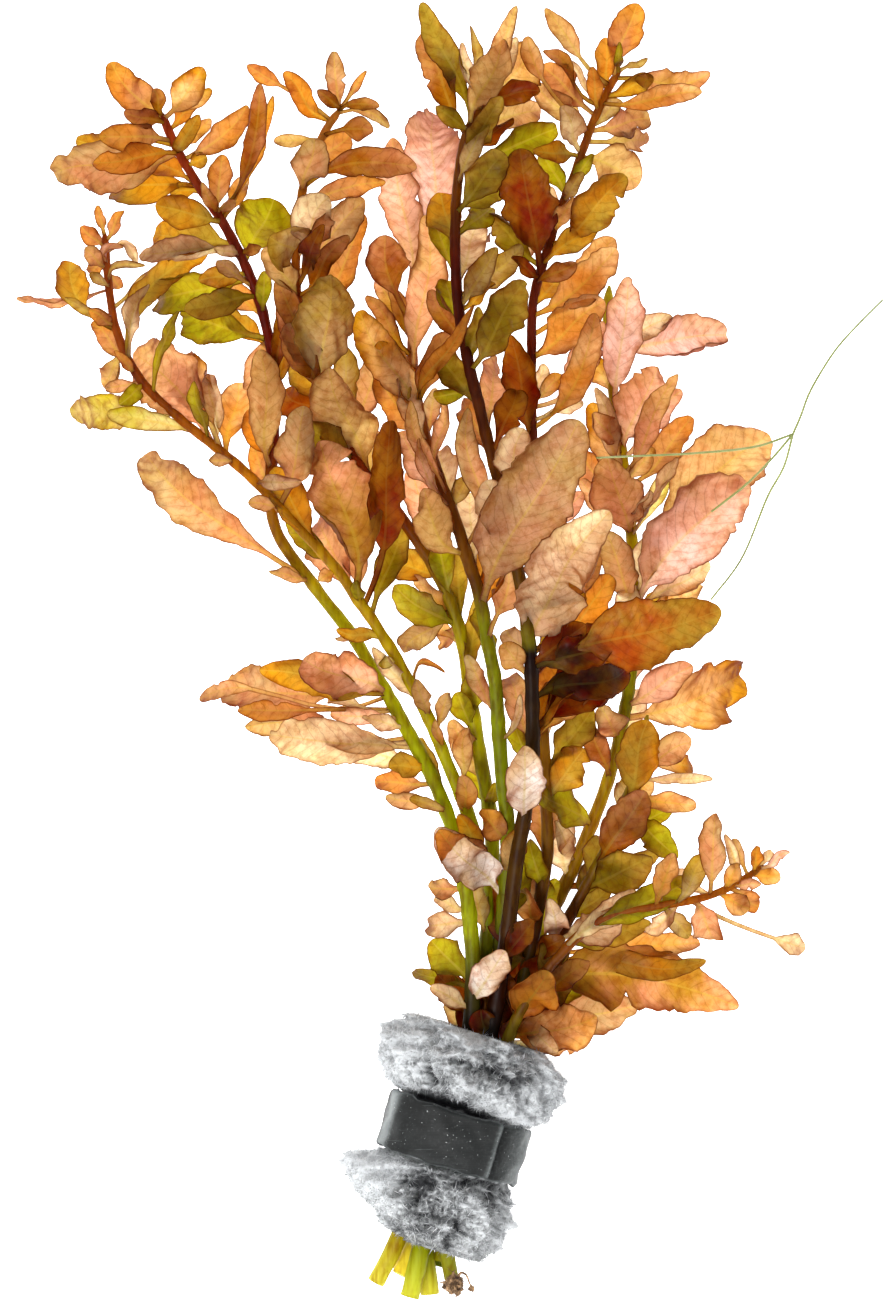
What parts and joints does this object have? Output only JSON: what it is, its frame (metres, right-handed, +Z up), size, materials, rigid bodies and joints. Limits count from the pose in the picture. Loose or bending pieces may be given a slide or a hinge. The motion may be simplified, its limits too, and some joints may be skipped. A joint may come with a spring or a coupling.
{
  "type": "bunch of ludwigia",
  "caption": "Bunch of red and amber broad-leaved water plant stems lying on its side, its cut ends wrapped in floss wool and held by a soft lead strip.",
  "frame": {"origin": "on the table that the bunch lies on, under the middle of its outline", "axes": "+Y runs along the bunch, from its cut ends to its growing tips; +Z is up, away from the table"},
  "size_m": [0.1741, 0.2581, 0.0568],
  "materials": {
    "leaf_rose": "thin matt leaf, pink to peach, light shows through it",
    "leaf_amber": "thin matt leaf, orange to rust and brown, light shows through it",
    "leaf_green": "thin matt leaf, olive to yellow-green, light shows through it",
    "stem": "smooth juicy stem, green below and red-brown above",
    "wool": "grey-white floss of fine glistening fibres",
    "lead": "dull dark grey soft metal, scratched",
    "root": "withered brown root",
    "thread": "fine grey-green thread of a water plant"
  },
  "bodies": {
    "root": {"wool_collar": "wool", "lead_strip": "lead", "root_tuft": "root", "stray_thread": "thread", "leaf_b1": "leaf_rose", "leaf_g1": "leaf_rose", "leaf_c1": "leaf_rose", "leaf_g2": "leaf_rose", "leaf_a1": "leaf_green", "leaf_c2": "leaf_amber", "leaf_g3": "leaf_amber", "leaf_h1": "leaf_green", "leaf_e1": "leaf_amber", "leaf_b2": "leaf_rose", "leaf_g4": "leaf_rose", "leaf_e2": "leaf_rose", "leaf_a2": "leaf_green", "leaf_a3": "leaf_amber", "leaf_a4": "leaf_rose", "leaf_c3": "leaf_rose", "leaf_d1": "leaf_amber", "leaf_d2": "leaf_amber", "leaf_b3": "leaf_rose", "leaf_f1": "leaf_amber", "leaf_c4": "leaf_amber", "leaf_b4": "leaf_amber", "leaf_c5": "leaf_rose", "leaf_b5": "leaf_rose", "leaf_h2": "leaf_rose", "leaf_g5": "leaf_rose", "leaf_c6": "leaf_rose", "leaf_b6": "leaf_green", "leaf_a5": "leaf_rose", "leaf_e3": "leaf_green", "leaf_g6": "leaf_rose", "leaf_e4": "leaf_green", "leaf_b7": "leaf_green", "leaf_f2": "leaf_amber", "leaf_f3": "leaf_amber", "leaf_f4": "leaf_green", "leaf_a6": "leaf_rose", "leaf_a7": "leaf_rose", "leaf_b8": "leaf_green", "leaf_a8": "leaf_green", "leaf_b9": "leaf_amber", "stem_a": "stem", "stem_b": "stem", "stem_c": "stem", "stem_d": "stem", "stem_e": "stem", "stem_f": "stem", "stem_g": "stem", "stem_h": "stem", "stem_i": "stem"}
  },
  "joints": []
}
